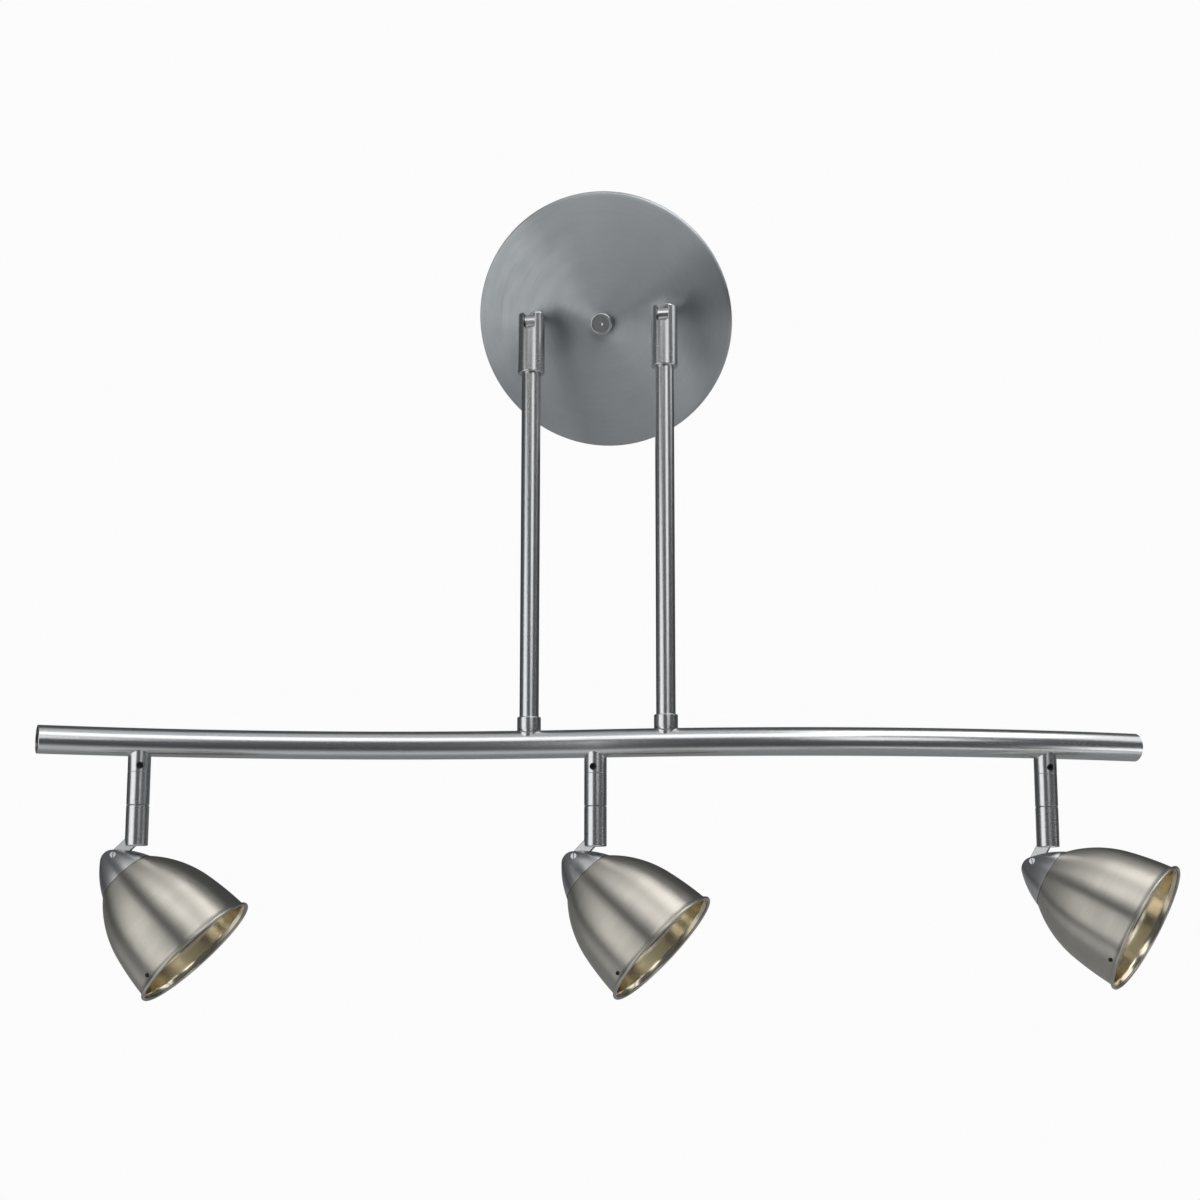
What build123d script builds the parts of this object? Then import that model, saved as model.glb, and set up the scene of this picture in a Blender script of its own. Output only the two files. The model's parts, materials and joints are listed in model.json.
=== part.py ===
from build123d import *

import os
from math import asin, cos, degrees, radians, sin

# Three-head serpentine spot fixture.  Millimetres, +Z up.
# The origin is the middle of the canopy's back, which lies on the wall (the XZ plane).
# The canopy faces -Y, and the two swivel pins lie along X.

# ---- Driving dimensions ------------------------------------------------------------------

# Canopy
CANOPY_R = 76.0
CANOPY_DEPTH = 12.0
CANOPY_LIP = 4.2            # depth of the rim before the dome starts
SHEET = 1.2                 # spun steel of the canopy
CAP_NUT_R = 6.5
CAP_NUT_H = 3.6
STUD_R = 2.5

# Crossbar that screws to a junction box
BAR_SLOT_NEAR = 69.9 / 2    # box screws are 69.9 to 88.9 apart
BAR_SLOT_FAR = 88.9 / 2
CROSSBAR_W = 16.0
CROSSBAR_T = 2.2
CROSSBAR_L = 102.0
BOX_SCREW_SLOT = 4.6

# Swivels: the stems swing about the two pins
STEM_GAP = 79.0             # between the stems
PIVOT_OUT = 26.0            # pins in front of the wall
PIVOT_UP = 4.6              # pins above the canopy's middle
SWING = 25.8                # stems away from the wall
TONGUE_T = 6.5
TONGUE_R = 4.4
SHANK_R = 2.7
SEAT_R = 4.9               # flange against the canopy
SEAT_FACE = 11.3           # flange front, in front of the wall
PIN_R = 1.5
RUNNING_GAP = 0.05          # radial, where a pin turns

# Clevis, stem and ferrule
CLEVIS_R = 7.75
CLEVIS_TOP = 4.8
CLEVIS_L = 36.0
CLEVIS_SLOT = 7.1
CLEVIS_SLOT_DEPTH = 9.8
STEM_R = 5.5
STEM_BORE_R = 4.0
STEM_IN_CLEVIS = 12.2
DROP = 249.0                # pins to the bar's centreline
FERRULE_R = 6.75
FERRULE_NECK_R = 5.95
FERRULE_TOP = 15.6          # above the bar's centreline
FERRULE_STEP = 8.6
SADDLE_LIP = 1.2

# Serpentine bar
BAR_R = 8.0
BAR_WALL = 1.2
BAR_BEND_R = 520.0
BAR_HALF = 316.0            # along the curve, from its middle to an end
PLUG_RECESS = 0.6
PLUG_L = 8.0

# Head drops, measured down from the bar's centreline
ARM_R = 6.35
COLLAR_END = 16.8
SLEEVE_END = 35.2
ARM_START = 35.5
ARM_END = 57.8
NIPPLE_R = 4.0
NIPPLE_BORE_R = 2.8
NIPPLE_FLANGE_R = 5.0
NIPPLE_END = 41.6
NIPPLE_FLANGE_T = 1.6
SET_SCREW_R = 2.0
SET_SCREW_DROP = 13.4

# Knuckle between arm and spot
KNUCKLE_UP = 5.0            # pin above the arm's lower end
LINK_L = 14.9               # between the link's two pins
LINK_W = 7.0
LINK_T = 3.0
LINK_ROOM = 0.3             # clearance all round the link
KNUCKLE_PIN_R = 1.25
TILT_SCREW_R = 1.5
TILT_SCREW_HEAD_R = 1.75

# Spot: depths are measured down its axis from the top of the socket cup
TILT_SIDE = 4.2             # tilt screw beside the axis
TILT_DEPTH = 6.0
SLOT_FALL = 0.6             # outward fall of the cup's slot, so that the link can lie level
CUP_NOSE_R, CUP_NOSE_DEPTH = 5.4, 2.5
CUP_MID_R, CUP_MID_DEPTH = 11.5, 9.4
CUP_END_R, CUP_END_DEPTH = 17.0, 18.7
CUP_CAVITY_DEPTH = 11.2
SPIGOT_R = 15.5
SPIGOT_BORE_R = 14.0
SPIGOT_END = 22.8
SHADE_SHEET = 1.0
SHADE_SHOULDER_R, SHADE_SHOULDER_DEPTH = 27.5, 34.0
SHADE_WAIST_R, SHADE_WAIST_DEPTH = 33.2, 50.6
SHADE_SWELL_R, SHADE_SWELL_DEPTH = 35.2, 62.9
SHADE_SKIRT_R, SHADE_SKIRT_DEPTH = 36.2, 73.0
MOUTH_DEPTH = 76.1
BEAD_R = 1.0
BEAD_OUT_R = 37.9
SHADE_RING_L = 2.4
HOLDER_END = 20.4
HOLDER_NECK_R, HOLDER_NECK_END = 9.0, 15.6
HOLDER_R = 12.4
LAMP_PIN_GAP = 10.0
LAMP_BASE_R = 9.5
LAMP_R = 25.0
LAMP_FACE = 66.4
RIM_SCREW_DEPTH = 72.4
RIM_SCREW_ANGLE = 36.0      # from straight in front, towards the spot's low side

# Heads: distance along the bar from its middle, and how each spot is turned at rest
HEADS = {
    "left": {"along": -259.8, "pan": 6.5, "lean": 46.0, "aim": 44.6},
    "middle": {"along": -0.9, "pan": -5.3, "lean": 44.6, "aim": 47.4},
    "right": {"along": 256.7, "pan": -15.7, "lean": 29.5, "aim": 61.6},
}

# Leads
LEAD_R = 0.9

# ---- Frames ------------------------------------------------------------------------------


def shifted(frame, x=0.0, y=0.0, z=0.0):
    """The same directions as the frame, at a point given in it."""
    return Plane(frame.from_local_coords(Vector(x, y, z)), frame.x_dir, frame.z_dir)


def upright(frame):
    """The frame's own front view: its x to the right and its z up."""
    return Plane(frame.origin, frame.x_dir, -frame.y_dir)


def sideways(frame):
    """The plane across the frame's x: its y to the right and its z up."""
    return Plane(frame.origin, frame.y_dir, frame.x_dir)


def spin_axis(frame):
    """The frame's z axis."""
    return Axis(frame.origin, frame.z_dir)


def turned(frame, direction, angle):
    """The frame turned about one of its own directions, its origin kept."""
    about = Axis((0, 0, 0), direction)
    return Plane(frame.origin, frame.x_dir.rotate(about, angle), frame.z_dir.rotate(about, angle))


MID_HEADING = -degrees(asin(STEM_GAP / 4 / BAR_BEND_R))


def bar_station(along):
    """Centreline point and heading of the bar, a signed distance from its middle."""
    heading = MID_HEADING + degrees(abs(along) / BAR_BEND_R)
    side = 1 if along >= 0 else -1
    x = BAR_BEND_R * (sin(radians(heading)) - sin(radians(MID_HEADING)))
    y = BAR_BEND_R * (cos(radians(MID_HEADING)) - cos(radians(heading)))
    return side * x, side * y, heading


pendant = Plane(
    origin=(0, -PIVOT_OUT, PIVOT_UP),
    x_dir=(1, 0, 0),
    z_dir=(0, sin(radians(SWING)), cos(radians(SWING))),
)
bar_frame = shifted(pendant, z=-DROP)
stem_frames = {
    "left": shifted(pendant, x=-STEM_GAP / 2),
    "right": shifted(pendant, x=STEM_GAP / 2),
}


def collar_frame(head):
    """Frame on the bar's centreline at a head, its x along the bar."""
    x, y, heading = bar_station(head["along"])
    return turned(shifted(bar_frame, x, y), bar_frame.z_dir, heading)


def arm_frame(head):
    """Frame on the bar's centreline at a head, its x towards the side the spot aims at."""
    x, y, _ = bar_station(head["along"])
    return turned(shifted(bar_frame, x, y), bar_frame.z_dir, head["pan"])


def link_frame(head):
    """Frame at the knuckle pin, with the link hanging down its z."""
    knuckle = shifted(arm_frame(head), z=KNUCKLE_UP - ARM_END)
    return turned(knuckle, knuckle.y_dir, head["lean"])


def spot_frame(head):
    """Frame at the top of the socket cup, with the spot hanging down its z."""
    tilt_pin = shifted(link_frame(head), z=-LINK_L)
    hanging = turned(tilt_pin, tilt_pin.y_dir, -head["lean"] - head["aim"])
    return shifted(hanging, -TILT_SIDE, 0, TILT_DEPTH)


os.makedirs("parts", exist_ok=True)

# ---- Canopy ------------------------------------------------------------------------------

dome_bend_r = (CANOPY_R**2 + (CANOPY_DEPTH - CANOPY_LIP) ** 2) / 2 / (CANOPY_DEPTH - CANOPY_LIP)


def dome_depth(radius):
    """Depth of the dome's outer face at a radius."""
    return CANOPY_DEPTH - radius**2 / 2 / dome_bend_r


half_sheet = SHEET / 2
rim_mid_r = CANOPY_R - half_sheet
rim_turn = 2.0
with BuildPart() as canopy_cover:
    with BuildSketch(Plane.XY):
        with BuildLine():
            dome = ThreePointArc(
                (STUD_R + 0.3, -CANOPY_DEPTH + half_sheet),
                (CANOPY_R / 2, -dome_depth(CANOPY_R / 2) + half_sheet),
                (rim_mid_r - rim_turn, -dome_depth(rim_mid_r - rim_turn) + half_sheet),
            )
            shoulder = TangentArc(dome @ 1, (rim_mid_r, -rim_turn), tangent=dome % 1)
            Line(shoulder @ 1, (rim_mid_r, 0))
        trace(line_width=SHEET)
    revolve(axis=Axis.Y)
    with BuildSketch(Plane.XZ):
        with Locations((-STEM_GAP / 2, PIVOT_UP), (STEM_GAP / 2, PIVOT_UP)):
            Circle(NIPPLE_R + 0.1)
    extrude(amount=CANOPY_DEPTH + 1, mode=Mode.SUBTRACT)
    split(bisect_by=Plane.XZ, keep=Keep.TOP)
canopy_cover.part.label = "canopy_cover"
export_step(canopy_cover.part, "parts/canopy_cover.step")

# Solid of the dome's outer shape, for seating the swivels on it with a hair of paint between.
seat_gap = 0.02
with BuildPart() as dome_block:
    with BuildSketch(Plane.XY):
        with BuildLine():
            face = ThreePointArc(
                (0, -CANOPY_DEPTH - seat_gap),
                (CANOPY_R / 2, -dome_depth(CANOPY_R / 2) - seat_gap),
                (CANOPY_R - 2, -dome_depth(CANOPY_R - 2) - seat_gap),
            )
            Polyline(face @ 1, (CANOPY_R - 2, 0), (0, 0), face @ 0)
        make_face()
    revolve(axis=Axis.Y)

slot_mid = (BAR_SLOT_NEAR + BAR_SLOT_FAR) / 2
slot_run = BAR_SLOT_FAR - BAR_SLOT_NEAR
ground_screw_up = 22.0
with BuildPart() as crossbar:
    with BuildSketch(Plane.XZ):
        RectangleRounded(CROSSBAR_W, CROSSBAR_L, 3)
        Circle(STUD_R, mode=Mode.SUBTRACT)
        with Locations((0, slot_mid), (0, -slot_mid)):
            SlotCenterToCenter(slot_run, BOX_SCREW_SLOT, rotation=90, mode=Mode.SUBTRACT)
        with Locations((0, ground_screw_up)):
            Circle(1.75, mode=Mode.SUBTRACT)
    extrude(amount=CROSSBAR_T)
crossbar.part.label = "crossbar"
export_step(crossbar.part, "parts/crossbar.step")

with BuildPart() as ground_screw:
    with BuildSketch(shifted(Plane.XZ, 0, ground_screw_up, 0.4)):
        Circle(1.75)
    extrude(amount=CROSSBAR_T - 0.4)
    with BuildSketch(shifted(Plane.XZ, 0, ground_screw_up, CROSSBAR_T)):
        Circle(3.4)
    extrude(amount=2.0)
    fillet(ground_screw.edges().group_by(Axis.Y)[0], 0.8)
    with BuildSketch(shifted(Plane.XZ, 0, ground_screw_up, CROSSBAR_T + 2.0)):
        Rectangle(8, 0.9)
    extrude(amount=-0.9, mode=Mode.SUBTRACT)
ground_screw.part.label = "ground_screw"
export_step(ground_screw.part, "parts/ground_screw.step")

stud_end = CANOPY_DEPTH + 2.0
with BuildPart() as centre_stud:
    with BuildSketch(Plane.XZ):
        Circle(STUD_R)
    extrude(amount=stud_end)
    chamfer(centre_stud.edges().filter_by(GeomType.CIRCLE), 0.4)
centre_stud.part.label = "centre_stud"
export_step(centre_stud.part, "parts/centre_stud.step")

with BuildPart() as stud_locknut:
    with BuildSketch(Plane.XZ.offset(CROSSBAR_T)):
        RegularPolygon(4.0, 6, major_radius=False)
        Circle(STUD_R, mode=Mode.SUBTRACT)
    extrude(amount=3.0)
stud_locknut.part.label = "stud_locknut"
export_step(stud_locknut.part, "parts/stud_locknut.step")

cap_back = CANOPY_DEPTH + 0.02
with BuildPart() as cap_nut:
    with BuildSketch(Plane.XZ.offset(cap_back)):
        Circle(CAP_NUT_R)
    extrude(amount=CAP_NUT_H)
    chamfer(cap_nut.faces().sort_by(Axis.Y)[0].edges(), 0.9)
    with BuildSketch(Plane.XZ.offset(cap_back)):
        Circle(STUD_R)
    extrude(amount=stud_end - cap_back, mode=Mode.SUBTRACT)
    with BuildSketch(Plane.XZ.offset(cap_back + CAP_NUT_H)):
        Circle(0.9)
    extrude(amount=-0.5, taper=30, mode=Mode.SUBTRACT)
cap_nut.part.label = "cap_nut"
export_step(cap_nut.part, "parts/cap_nut.step")

# ---- Swivels -----------------------------------------------------------------------------

stud_inner_end = 3.6
nut_top = 7.5
nut_t = 3.2
for side, x in (("left", -STEM_GAP / 2), ("right", STEM_GAP / 2)):
    stud_face = shifted(Plane.XZ, x, PIVOT_UP, 0)
    with BuildPart() as tongue:
        with BuildSketch(stud_face):
            Circle(SEAT_R)
        extrude(amount=SEAT_FACE)
        chamfer(tongue.faces().sort_by(Axis.Y)[0].edges(), 0.4)
        with BuildSketch(stud_face):
            Circle(SHANK_R)
        extrude(amount=PIVOT_OUT - TONGUE_R / 2)
        with BuildSketch(Plane((x, -PIVOT_OUT, PIVOT_UP), (0, 1, 0), (1, 0, 0))):
            Circle(TONGUE_R)
        extrude(amount=TONGUE_T / 2, both=True)
        add(dome_block.part, mode=Mode.SUBTRACT)
        with BuildSketch(shifted(stud_face, z=stud_inner_end)):
            Circle(NIPPLE_R)
        extrude(amount=CANOPY_DEPTH - stud_inner_end)
        with BuildSketch(stud_face):
            Circle(1.8)
        extrude(amount=PIVOT_OUT - 6.5, mode=Mode.SUBTRACT)
        with BuildSketch(Plane((x, -PIVOT_OUT, PIVOT_UP), (0, 1, 0), (1, 0, 0))):
            Circle(PIN_R + RUNNING_GAP)
        extrude(amount=TONGUE_T, both=True, mode=Mode.SUBTRACT)
    tongue.part.label = f"{side}_swivel_tongue"
    export_step(tongue.part, f"parts/{side}_swivel_tongue.step")

with BuildPart() as swivel_nuts:
    with BuildSketch(Plane.XZ.offset(nut_top - nut_t)):
        with Locations((-STEM_GAP / 2, PIVOT_UP), (STEM_GAP / 2, PIVOT_UP)):
            RegularPolygon(6.5, 6, major_radius=False)
            Circle(NIPPLE_R, mode=Mode.SUBTRACT)
    extrude(amount=nut_t)
swivel_nuts.part.label = "swivel_nuts"
export_step(swivel_nuts.part, "parts/swivel_nuts.step")

# Twist-on connectors that join the fixture's leads to the house wiring, mouth downwards.
connector_l = 17.0
connector_spots = ((-17.0, -14.0), (17.0, -14.0))
with BuildPart() as wire_connectors:
    for x, z in connector_spots:
        with BuildSketch(Plane((x, -5.4, z), (1, 0, 0), (0, 0, 1))):
            Circle(4.4)
        extrude(amount=connector_l, taper=5)
        with BuildSketch(Plane((x, -5.4, z), (1, 0, 0), (0, 0, 1))):
            Circle(2.6)
        extrude(amount=9, mode=Mode.SUBTRACT)
wire_connectors.part.label = "wire_connectors"
export_step(wire_connectors.part, "parts/wire_connectors.step")

with BuildPart() as supply_leads:
    for side in (-1, 1):
        mouth_x = side * 17.0
        stud_x = side * STEM_GAP / 2
        with BuildLine() as lead_route:
            FilletPolyline(
                (mouth_x, -5.4, -7),
                (mouth_x, -5.4, -20),
                (side * 27.0, -3.4, -26),
                (stud_x, -1.7, -12),
                (stud_x, -1.7, PIVOT_UP),
                (stud_x, -14.0, PIVOT_UP),
                radius=[3, 4, 6, 1.6],
            )
        with BuildSketch(Plane(lead_route.wire() @ 0, z_dir=lead_route.wire() % 0)):
            Circle(LEAD_R)
        sweep(path=lead_route.wire())
supply_leads.part.label = "supply_leads"
export_step(supply_leads.part, "parts/supply_leads.step")

# ---- Stems -------------------------------------------------------------------------------

_, _, end_heading = bar_station(BAR_HALF)
bar_turn = end_heading - MID_HEADING
mid_tangent = Vector(cos(radians(MID_HEADING)), sin(radians(MID_HEADING)), 0)
mid_section = Plane(
    bar_frame.origin, z_dir=bar_frame.from_local_coords(mid_tangent) - bar_frame.origin
)
bend_x = -BAR_BEND_R * sin(radians(MID_HEADING))
bend_y = BAR_BEND_R * cos(radians(MID_HEADING))
bend_axes = [
    spin_axis(shifted(bar_frame, bend_x, bend_y)),
    spin_axis(shifted(bar_frame, -bend_x, -bend_y)),
]

# Solid rods along the bar, for seating stems and collars on it.
rods = {}
for rod_name, rod_r in (("bar", BAR_R), ("lip", BAR_R + SADDLE_LIP)):
    with BuildPart() as rod:
        for bend_axis in bend_axes:
            with BuildSketch(mid_section):
                Circle(rod_r)
            revolve(axis=bend_axis, revolution_arc=bar_turn)
    rods[rod_name] = rod.part

clevis_end = CLEVIS_TOP - CLEVIS_L
slot_floor = CLEVIS_TOP - CLEVIS_SLOT_DEPTH
stem_top = clevis_end + STEM_IN_CLEVIS
for side, frame in stem_frames.items():
    with BuildPart() as clevis:
        with BuildSketch(shifted(frame, z=clevis_end)):
            Circle(CLEVIS_R)
        extrude(amount=CLEVIS_L)
        fillet(clevis.edges().filter_by(GeomType.CIRCLE), 0.7)
        with BuildSketch(upright(shifted(frame, z=slot_floor + CLEVIS_SLOT_DEPTH))) as slot:
            Rectangle(CLEVIS_SLOT, 2 * CLEVIS_SLOT_DEPTH)
            fillet(slot.vertices(), 1.6)
        extrude(amount=CLEVIS_R + 1, both=True, mode=Mode.SUBTRACT)
        with BuildSketch(shifted(frame, z=clevis_end)):
            Circle(STEM_R)
        extrude(amount=STEM_IN_CLEVIS, mode=Mode.SUBTRACT)
        with BuildSketch(shifted(frame, z=clevis_end)):
            Circle(3.0)
        extrude(amount=CLEVIS_L - 1, mode=Mode.SUBTRACT)
        with BuildSketch(sideways(frame)):
            Circle(PIN_R)
        extrude(amount=CLEVIS_R + 1, both=True, mode=Mode.SUBTRACT)
    clevis.part.label = f"{side}_clevis"
    export_step(clevis.part, f"parts/{side}_clevis.step")

    with BuildPart() as stem:
        with BuildSketch(shifted(frame, z=stem_top)):
            Circle(STEM_R)
            Circle(STEM_BORE_R, mode=Mode.SUBTRACT)
        extrude(amount=-DROP - stem_top)
        add(rods["bar"], mode=Mode.SUBTRACT)
    stem.part.label = f"{side}_stem"
    export_step(stem.part, f"parts/{side}_stem.step")

    foot = shifted(frame, z=-DROP)
    with BuildPart() as ferrule:
        with BuildSketch(foot):
            Circle(FERRULE_R)
        extrude(amount=FERRULE_STEP)
        add(rods["lip"], mode=Mode.INTERSECT)
        with BuildSketch(foot):
            Circle(FERRULE_NECK_R)
        extrude(amount=FERRULE_STEP + 1)
        add(rods["bar"], mode=Mode.SUBTRACT)
        with BuildSketch(shifted(foot, z=FERRULE_STEP)):
            Circle(FERRULE_R)
        extrude(amount=FERRULE_TOP - FERRULE_STEP)
        fillet(ferrule.faces().sort_by(spin_axis(foot))[-1].edges(), 0.5)
        with BuildSketch(foot):
            Circle(STEM_R)
        extrude(amount=FERRULE_TOP + 1, mode=Mode.SUBTRACT)
    ferrule.part.label = f"{side}_ferrule"
    export_step(ferrule.part, f"parts/{side}_ferrule.step")

pin_half = CLEVIS_R - 0.6
with BuildPart() as swivel_pins:
    for frame in stem_frames.values():
        with BuildSketch(sideways(shifted(frame, x=-pin_half))):
            Circle(PIN_R)
        extrude(amount=2 * pin_half)
swivel_pins.part.label = "swivel_pins"
export_step(swivel_pins.part, "parts/swivel_pins.step")

# ---- Serpentine bar ----------------------------------------------------------------------

stem_lead_hole_r = 3.5
with BuildPart() as serpentine_bar:
    for bend_axis in bend_axes:
        with BuildSketch(mid_section):
            Circle(BAR_R)
            Circle(BAR_R - BAR_WALL, mode=Mode.SUBTRACT)
        revolve(axis=bend_axis, revolution_arc=bar_turn)
    for frame in stem_frames.values():
        with BuildSketch(shifted(frame, z=-DROP)):
            Circle(stem_lead_hole_r)
        extrude(amount=BAR_R + 1, mode=Mode.SUBTRACT)
    for head in HEADS.values():
        with BuildSketch(collar_frame(head)):
            Circle(NIPPLE_R)
        extrude(amount=-BAR_R - 1, mode=Mode.SUBTRACT)
serpentine_bar.part.label = "serpentine_bar"
export_step(serpentine_bar.part, "parts/serpentine_bar.step")

for side, tip in (("left", -BAR_HALF), ("right", BAR_HALF)):
    x, y, heading = bar_station(tip)
    inward = heading if tip < 0 else heading + 180
    inward_dir = bar_frame.from_local_coords(Vector(cos(radians(inward)), sin(radians(inward)), 0))
    mouth = Plane(bar_frame.from_local_coords(Vector(x, y, 0)), z_dir=inward_dir - bar_frame.origin)
    with BuildPart() as end_plug:
        with BuildSketch(mouth.offset(PLUG_RECESS)):
            Circle(BAR_R - BAR_WALL - 0.1)
        extrude(amount=PLUG_L)
        fillet(end_plug.edges().filter_by(GeomType.CIRCLE), 0.5)
        with BuildSketch(mouth.offset(PLUG_RECESS + PLUG_L)):
            Circle(BAR_R - BAR_WALL - 1.6)
        extrude(amount=1.5 - PLUG_L, mode=Mode.SUBTRACT)
    end_plug.part.label = f"{side}_end_plug"
    export_step(end_plug.part, f"parts/{side}_end_plug.step")

lead_gap = 1.1
lead_end = HEADS["right"]["along"] + 6
lead_turn = degrees(lead_end / BAR_BEND_R)
with BuildPart() as pendant_leads:
    for frame in stem_frames.values():
        for x in (-lead_gap, lead_gap):
            with BuildSketch(shifted(frame, x, 0, slot_floor - 1)):
                Circle(LEAD_R)
            extrude(amount=-(DROP + slot_floor - 1) + 2.0)
    for bend_axis in bend_axes:
        with BuildSketch(mid_section):
            with Locations((lead_gap, 0), (-lead_gap, 0)):
                Circle(LEAD_R)
        revolve(axis=bend_axis, revolution_arc=lead_turn)
pendant_leads.part.label = "pendant_leads"
export_step(pendant_leads.part, "parts/pendant_leads.step")

# ---- Head drops --------------------------------------------------------------------------

for side, head in HEADS.items():
    frame = collar_frame(head)
    with BuildPart() as collar:
        with BuildSketch(shifted(frame, z=-COLLAR_END)):
            Circle(ARM_R)
        extrude(amount=COLLAR_END - 3)
        chamfer(collar.edges().filter_by(GeomType.CIRCLE), 0.25)
        add(rods["bar"], mode=Mode.SUBTRACT)
        with BuildSketch(shifted(frame, z=-COLLAR_END)):
            Circle(NIPPLE_R)
        extrude(amount=COLLAR_END, mode=Mode.SUBTRACT)
        with BuildSketch(upright(shifted(frame, z=-SET_SCREW_DROP))):
            Circle(SET_SCREW_R)
        extrude(amount=ARM_R + 1, mode=Mode.SUBTRACT)
    collar.part.label = f"{side}_collar"
    export_step(collar.part, f"parts/{side}_collar.step")

    with BuildPart() as sleeve:
        with BuildSketch(shifted(frame, z=-SLEEVE_END)):
            Circle(ARM_R)
            Circle(NIPPLE_R, mode=Mode.SUBTRACT)
        extrude(amount=SLEEVE_END - COLLAR_END)
        chamfer(sleeve.edges().filter_by(GeomType.CIRCLE).group_by(SortBy.RADIUS)[-1], 0.25)
    sleeve.part.label = f"{side}_sleeve"
    export_step(sleeve.part, f"parts/{side}_sleeve.step")

with BuildPart() as set_screws:
    for head in HEADS.values():
        screw_face = upright(shifted(collar_frame(head), z=-SET_SCREW_DROP))
        with BuildSketch(screw_face.offset(NIPPLE_R)):
            Circle(SET_SCREW_R)
        extrude(amount=ARM_R - NIPPLE_R - 0.6)
        with BuildSketch(screw_face.offset(ARM_R - 0.6)):
            RegularPolygon(1.1, 6, major_radius=False)
        extrude(amount=-1.2, mode=Mode.SUBTRACT)
set_screws.part.label = "set_screws"
export_step(set_screws.part, "parts/set_screws.step")

with BuildPart() as swivel_nipples:
    for head in HEADS.values():
        frame = collar_frame(head)
        with BuildSketch(shifted(frame, z=-NIPPLE_END)):
            Circle(NIPPLE_R)
        extrude(amount=NIPPLE_END - BAR_R + 0.8)
        with BuildSketch(shifted(frame, z=-NIPPLE_END)):
            Circle(NIPPLE_FLANGE_R)
        extrude(amount=-NIPPLE_FLANGE_T)
        with BuildSketch(shifted(frame, z=-NIPPLE_END - NIPPLE_FLANGE_T)):
            Circle(NIPPLE_BORE_R)
        extrude(amount=NIPPLE_END, mode=Mode.SUBTRACT)
swivel_nipples.part.label = "swivel_nipples"
export_step(swivel_nipples.part, "parts/swivel_nipples.step")

# ---- Arms and links ----------------------------------------------------------------------

arm_gap = ARM_START - SLEEVE_END
chamber_start = NIPPLE_END - arm_gap
chamber_end = NIPPLE_END + NIPPLE_FLANGE_T + 1.6
knuckle_drop = ARM_END - KNUCKLE_UP
link_room_r = LINK_W / 2 + LINK_ROOM
for side, head in HEADS.items():
    frame = arm_frame(head)
    knuckle = shifted(frame, z=-knuckle_drop)
    with BuildPart() as arm:
        with BuildSketch(shifted(frame, z=-ARM_END)):
            Circle(ARM_R)
        extrude(amount=ARM_END - ARM_START)
        chamfer(arm.edges().filter_by(GeomType.CIRCLE), 0.3)
        with BuildSketch(shifted(frame, z=-ARM_START)):
            Circle(NIPPLE_R + RUNNING_GAP)
        extrude(amount=ARM_START - chamber_start - 1, mode=Mode.SUBTRACT)
        with BuildSketch(shifted(frame, z=-chamber_start)):
            Circle(NIPPLE_FLANGE_R + 0.3)
        extrude(amount=chamber_start - chamber_end, mode=Mode.SUBTRACT)
        with BuildSketch(shifted(frame, z=-chamber_end)):
            Circle(1.7)
        extrude(amount=chamber_end - knuckle_drop, mode=Mode.SUBTRACT)
        with BuildSketch(upright(knuckle)):
            with BuildLine():
                low = -KNUCKLE_UP - 1
                wall = Line((-ARM_R - 1, low), (link_room_r, low))
                Line(wall @ 1, (link_room_r, 0))
                CenterArc((0, 0), link_room_r, 0, 90)
                Polyline((0, link_room_r), (-ARM_R - 1, link_room_r), wall @ 0)
            make_face()
        extrude(amount=LINK_T / 2 + LINK_ROOM, both=True, mode=Mode.SUBTRACT)
        with BuildSketch(upright(knuckle).offset(-ARM_R)):
            Circle(KNUCKLE_PIN_R)
        extrude(amount=2 * ARM_R - 1.6, mode=Mode.SUBTRACT)
    arm.part.label = f"{side}_arm"
    export_step(arm.part, f"parts/{side}_arm.step")

    with BuildPart() as knuckle_pin:
        with BuildSketch(upright(knuckle).offset(-ARM_R + 0.5)):
            Circle(KNUCKLE_PIN_R)
        extrude(amount=2 * ARM_R - 2.2)
    knuckle_pin.part.label = f"{side}_knuckle_pin"
    export_step(knuckle_pin.part, f"parts/{side}_knuckle_pin.step")

    link_face = upright(link_frame(head))
    with BuildPart() as link:
        with BuildSketch(link_face):
            with Locations((0, -LINK_L / 2)):
                SlotCenterToCenter(LINK_L, LINK_W, rotation=90)
            Circle(KNUCKLE_PIN_R + RUNNING_GAP, mode=Mode.SUBTRACT)
            with Locations((0, -LINK_L)):
                Circle(TILT_SCREW_R + RUNNING_GAP, mode=Mode.SUBTRACT)
        extrude(amount=LINK_T / 2, both=True)
        chamfer(link.faces().filter_by(spin_axis(link_face)).edges().filter_by(GeomType.LINE), 0.3)
    link.part.label = f"{side}_link"
    export_step(link.part, f"parts/{side}_link.step")

# ---- Spots -------------------------------------------------------------------------------

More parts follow.
